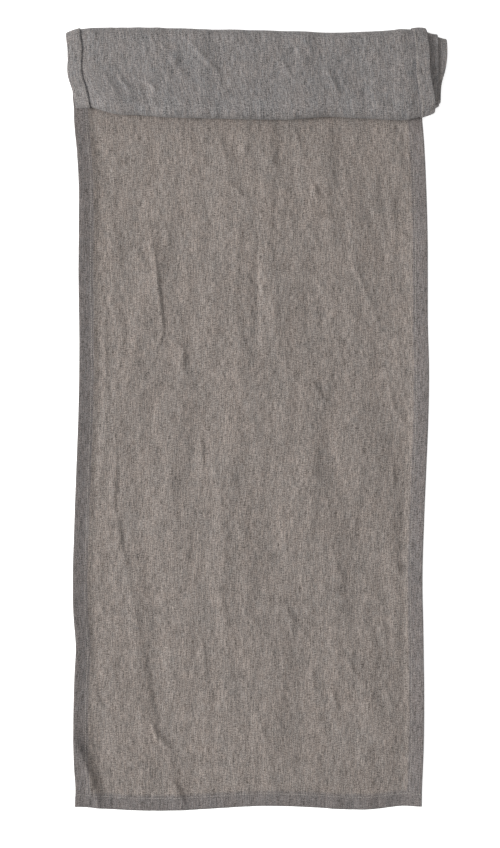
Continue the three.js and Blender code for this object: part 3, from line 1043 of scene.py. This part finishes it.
def sewing_thread(name, base, light):
    """Twisted thread, with bands of the light colour on the base: painted highlight on the twist's crowns."""
    material = bpy.data.materials.new(name)
    material.use_nodes = True
    tree = material.node_tree
    tree.nodes.clear()
    place = add(tree, "ShaderNodeTexCoord").outputs["Object"]
    twist = add(
        tree,
        "ShaderNodeTexWave",
        {"Vector": place, "Scale": TWIST_SCALE, "Distortion": 1.5},
        bands_direction="DIAGONAL",
    ).outputs["Fac"]
    # Painted highlight and shade: the light colour lies on the twist's crowns, where the same wave raises the
    # bump.
    painted_twist_highlight = add(
        tree,
        "ShaderNodeMix",
        {0: twist, 6: colour(base), 7: colour(light)},
        data_type="RGBA",
    )
    bump = add(tree, "ShaderNodeBump", {"Height": twist, "Strength": 0.4, "Distance": TWIST_RELIEF * MM})
    shader = add(
        tree,
        "ShaderNodeBsdfPrincipled",
        {
            "Base Color": painted_twist_highlight.outputs[2],
            "Roughness": 0.6,
            "Sheen Weight": 0.1,
            "Normal": bump.outputs["Normal"],
        },
    )
    add(tree, "ShaderNodeOutputMaterial", {"Surface": shader.outputs["BSDF"]})
    return material


THREAD = sewing_thread("spun_polyester_thread", "968f89", "b4ada6")
print("thread:", THREAD.name)

# %% [markdown]
# ## Two sides of one cloth
#
# The cloth's right side is a little warmer in colour than its wrong side, and the wrong side is also painted
# darker, as painted shade of the plies of the roll under its face. The shell's faces already know which side
# they are on, by their slot, so each stretch gets both finishes. A hem shows only the wrong side.

# %% Finishes onto the cloth and its hems
for cloth in (laid_cloth, outer_turn, inner_turns):
    cloth.data.materials.append(RIGHT_SIDE)
    cloth.data.materials.append(WRONG_SIDE_WITH_PAINTED_SHADE)
for hem in hems.values():
    hem.data.materials.append(WRONG_SIDE_WITH_PAINTED_SHADE)
print("linen on", 3 + len(hems), "pieces")

# %% [markdown]
# ## Setting the stitches
#
# A seam line is a chain of points just above the cloth for the needle thread, and just below the hem for
# the bobbin thread. It could be a curve object, but a mesh line laid like the cloth follows each crinkle. The
# tree above turns each line into stitches.

# %% Seams
NEEDLE_HEIGHT = LIFT + PLY + 0.04  # a stitch's middle lies this high in the stack
BOBBIN_HEIGHT = -0.1
LINE_STEP = 1.5  # between the points of a seam line
SIDE_MARGIN, END_MARGIN = 1, 2  # a seam stops this far short of where its stretch ends


def stitched(name, u, s, height):
    """Stitches along the flat cloth's line (u, s), at that height in the stack."""
    points = lay(u, s, height)
    mesh = bpy.data.meshes.new(name + "_line")
    mesh.from_pydata([tuple(p) for p in points], [(i, i + 1) for i in range(len(points) - 1)], [])
    line = bpy.data.objects.new(name + "_line", mesh)
    bpy.context.scene.collection.objects.link(line)
    modifier = line.modifiers.new("stitches", "NODES")
    modifier.node_group = STITCHES
    modifier[socket(STITCHES, "Stitch")] = ONE_STITCH
    modifier[socket(STITCHES, "Pitch")] = STITCH_PITCH * MM
    modifier[socket(STITCHES, "Thread")] = THREAD
    graph = bpy.context.evaluated_depsgraph_get()
    graph.update()
    made = bpy.data.meshes.new_from_object(line.evaluated_get(graph))
    made.name = name
    thing = bpy.data.objects.new(name, made)
    bpy.context.scene.collection.objects.link(thing)
    line.modifiers.clear()
    bpy.data.objects.remove(line)
    return thing


seams = {}
for stretch, (start, end, _) in STRETCHES.items():
    for side_name, u in (("left", SEAM), ("right", CLOTH_WIDTH - SEAM)):
        s = np.arange(start + LINE_STEP, end - SIDE_MARGIN, LINE_STEP)
        for thread, height in (("needle", NEEDLE_HEIGHT), ("bobbin", BOBBIN_HEIGHT)):
            name = f"{stretch}_{side_name}_{thread}_stitches"
            seams[stretch, side_name, thread] = stitched(name, np.full(len(s), u), s, height)
for end_name, s in (("near_end", SEAM), ("far_end", CLOTH_LENGTH - SEAM)):
    u = np.arange(2 * LINE_STEP, CLOTH_WIDTH - END_MARGIN, LINE_STEP)
    for thread, height in (("needle", NEEDLE_HEIGHT), ("bobbin", BOBBIN_HEIGHT)):
        name = f"{end_name}_{thread}_stitches"
        seams[end_name, thread] = stitched(name, u, np.full(len(u), s), height)
bpy.data.objects.remove(ONE_STITCH)
print(len(seams), "rows of stitches,", sum(len(o.data.polygons) for o in seams.values()), "faces")

# %% [markdown]
# ## How it moves
#
# The roll turns over on the fold and travels along the table as it does. A rigid cut at the fold would tear
# open. Here the open length and the outer turn are only baked in place, while the inner turns, the far end's
# hem and their stitches go with the rolled end's body, and the near end's hem and its stitches with the laid
# length's body.

CAD_STRETCH = {"laid": "laid", "outer_turn": "fold", "inner_turns": "rolled"}
RIGID_BODY = {"inner_turns": "rolled_end", "far_end": "rolled_end", "near_end": "laid_length"}


def joined_to_frame(piece, stretch, slot, *nodes):
    """Bakes a piece into place, or puts it on its rigid body, and hides the CAD nodes that it stands for. The
    slot is not used.
    """
    if stretch == "laid":
        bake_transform(piece)
    elif stretch == "outer_turn":
        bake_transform(piece)
    else:
        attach(piece, RIGID_BODY[stretch])
    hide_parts(*nodes)


joined_to_frame(laid_cloth, "laid", "linen_right_side", "laid_cloth")
joined_to_frame(outer_turn, "outer_turn", "linen_wrong_side", "fold_cloth")
joined_to_frame(inner_turns, "inner_turns", "linen_wrong_side", "rolled_cloth")
for stretch, cad in CAD_STRETCH.items():
    for side_name in ("left", "right"):
        joined_to_frame(hems[stretch, side_name], stretch, "linen_wrong_side", f"{cad}_{side_name}_hem")
        for thread in ("needle", "bobbin"):
            node = f"{cad}_{side_name}_{thread}_thread"
            joined_to_frame(seams[stretch, side_name, thread], stretch, "sewing_thread", node)
for end_name in ("near_end", "far_end"):
    joined_to_frame(hems[end_name], end_name, "linen_wrong_side", f"{end_name}_hem")
    for thread in ("needle", "bobbin"):
        joined_to_frame(seams[end_name, thread], end_name, "sewing_thread", f"{end_name}_{thread}_thread")


def going_with(*keys):
    """The hems and rows of stitches of those stretches."""
    found = []
    for key in keys:
        found += [piece for name, piece in hems.items() if name == key or name[0] == key]
        found += [piece for name, piece in seams.items() if name[0] == key]
    return found


going_with("laid", "near_end")
going_with("outer_turn")
going_with("inner_turns", "far_end")
print("every CAD node is replaced:", all(node.hide_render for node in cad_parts.values()))

# %% [markdown]
# ## The table
#
# A plain white table, just under the lowest stitches. It is very large, so that only a view from very low
# sees past its end. A painted table would look grey at its far side under soft light, so it also shines a little
# of its own white, which keeps it even without washing out the shadow that the cloth lays on it.

# %% Floor
FLOOR_HALF = 30.0
FLOOR_DROP = 0.6  # millimetres
floor_mesh = bpy.data.meshes.new("floor")
sides = ((-1, -1), (1, -1), (1, 1), (-1, 1))
corners = [(x * FLOOR_HALF, y * FLOOR_HALF, -FLOOR_DROP * MM) for x, y in sides]
floor_mesh.from_pydata(corners, [], [(0, 1, 2, 3)])
floor = bpy.data.objects.new("floor", floor_mesh)
bpy.context.scene.collection.objects.link(floor)
floor_paint = bpy.data.materials.new("matt_white_table")
floor_paint.use_nodes = True
floor_shader = floor_paint.node_tree.nodes["Principled BSDF"]
floor_shader.inputs["Base Color"].default_value = colour("f4f4f4")
floor_shader.inputs["Roughness"].default_value = 0.9
floor_shader.inputs["Specular IOR Level"].default_value = 0.1
floor_shader.inputs["Emission Color"].default_value = (1, 1, 1, 1)
floor_shader.inputs["Emission Strength"].default_value = 0.6
floor_mesh.materials.append(floor_paint)
print("table top at", -FLOOR_DROP, "mm")

# %% [markdown]
# ## Light
#
# Creases only read when light comes from one side, and linen only looks soft when the light is large. So one
# large square light stands low to the left, a little towards the near end. White surroundings fill its
# shadows, and a weak light above evens the whole. A small lamp or a sun would draw hard shadows.

# %% Light
world = bpy.data.worlds.new("white_surroundings")
world.use_nodes = True
world.node_tree.nodes["Background"].inputs["Color"].default_value = (1, 1, 1, 1)
world.node_tree.nodes["Background"].inputs["Strength"].default_value = 0.32
bpy.context.scene.world = world


def soft_light(name, place, size, power):
    """A square soft light that faces the middle of the runner."""
    data = bpy.data.lights.new(name, "AREA")
    data.size = size
    data.energy = power
    light = bpy.data.objects.new(name, data)
    light.location = place
    aim = -np.array(place) / np.linalg.norm(place)
    light.rotation_euler = (math.acos(-aim[2]), 0, math.atan2(-aim[0], aim[1]))
    bpy.context.scene.collection.objects.link(light)
    return light


soft_light("key_light", (-3.8, -0.35, 2.3), 1.9, 245)
soft_light("top_light", (0, 0.25, 2.6), 1.6, 18)

# %% [markdown]
# ## Camera
#
# The runner is seen from straight above. A camera close to it would show the roll, which stands higher than
# the cloth, too large, so it is nearly two metres up with a long lens. It aims a little to the left of the
# runner's middle and a little nearer its near end.

# %% Camera
CAMERA_HEIGHT = 1.95
AIM_LEFT, AIM_DOWN = 8.3, 4.5  # millimetres from the middle of the runner's box
low, high = cad_bounds
aim_x = (low[0] + high[0]) / 2 - AIM_LEFT * MM
aim_y = (low[1] + high[1]) / 2 - AIM_DOWN * MM
camera_data = bpy.data.cameras.new("camera")
camera_data.sensor_width = 36
camera_data.lens = 73.8
camera = bpy.data.objects.new("camera", camera_data)
camera.location = (aim_x, aim_y, CAMERA_HEIGHT)
bpy.context.scene.collection.objects.link(camera)
bpy.context.scene.camera = camera
bpy.context.scene.view_settings.view_transform = "Standard"
print("camera", CAMERA_HEIGHT, "m up, lens", camera_data.lens, "mm")
